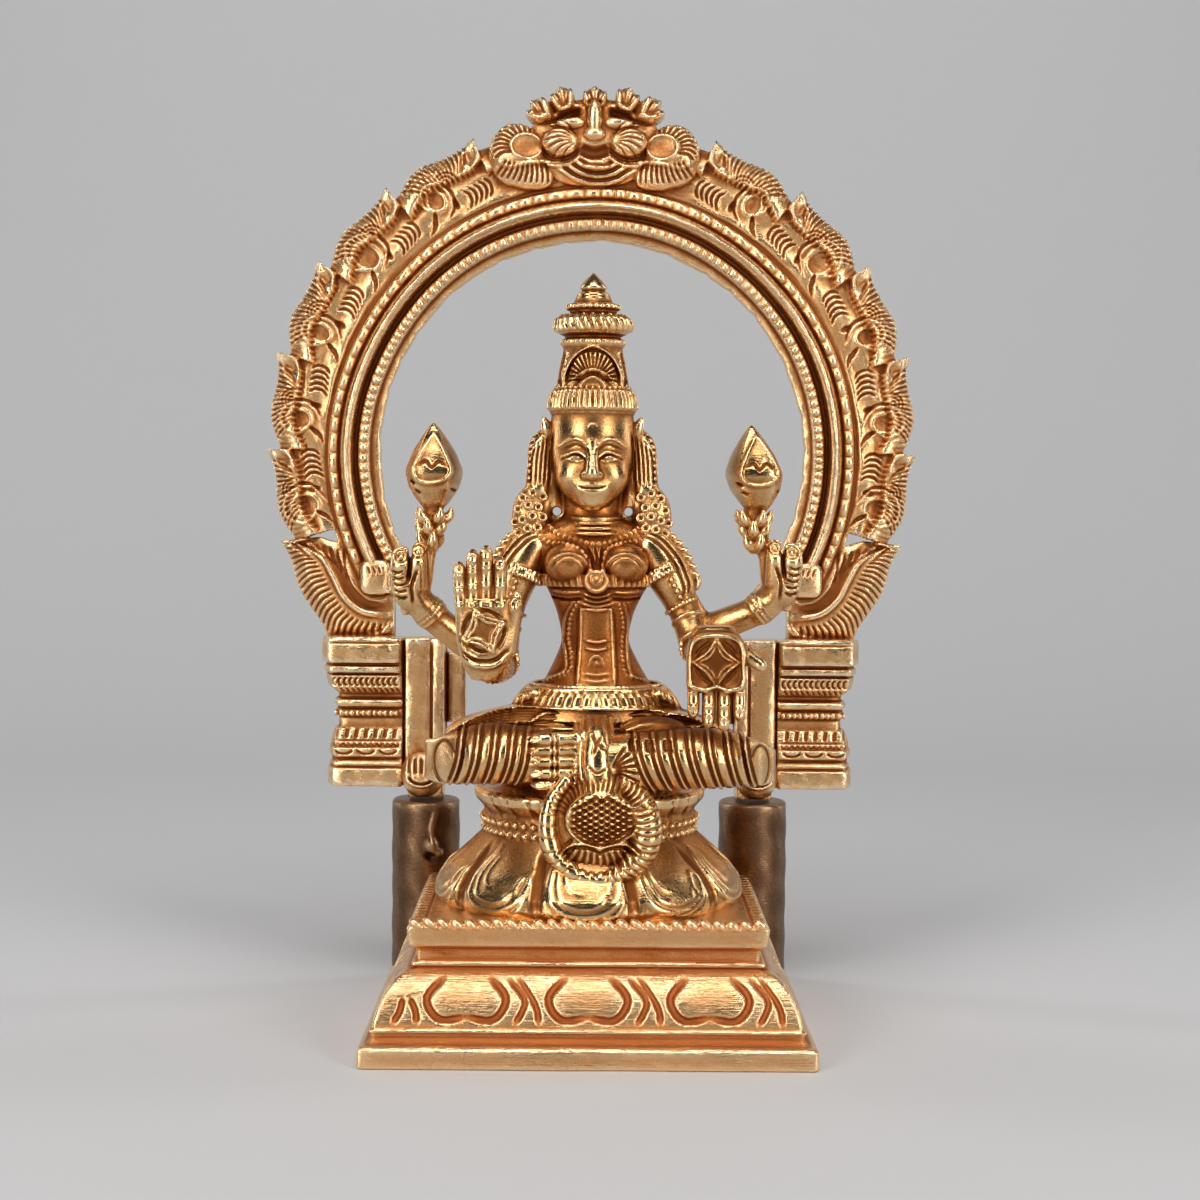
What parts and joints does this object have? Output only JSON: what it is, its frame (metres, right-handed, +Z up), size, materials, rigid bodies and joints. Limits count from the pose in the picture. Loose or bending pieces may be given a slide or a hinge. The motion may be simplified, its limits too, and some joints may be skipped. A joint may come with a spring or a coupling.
{
  "type": "lakshmi figure",
  "caption": "Seated four-armed Lakshmi on a lotus and stepped plinth, under a separate flame-edged arch that rests on two round posts.",
  "frame": {"origin": "centre of the underside, on the surface that the plinth stands on", "axes": "+Z up, the figure faces -Y, +X to the viewer's right"},
  "size_m": [0.1096, 0.057, 0.151],
  "materials": {
    "figure_brass": "polished high points, matt copper-coloured recesses, filed plinth",
    "arch_brass": "polished mouldings and leaves, matt copper-coloured recesses"
  },
  "bodies": {
    "root": {"figure_and_plinth": "figure_brass", "arch": "arch_brass"}
  },
  "joints": []
}
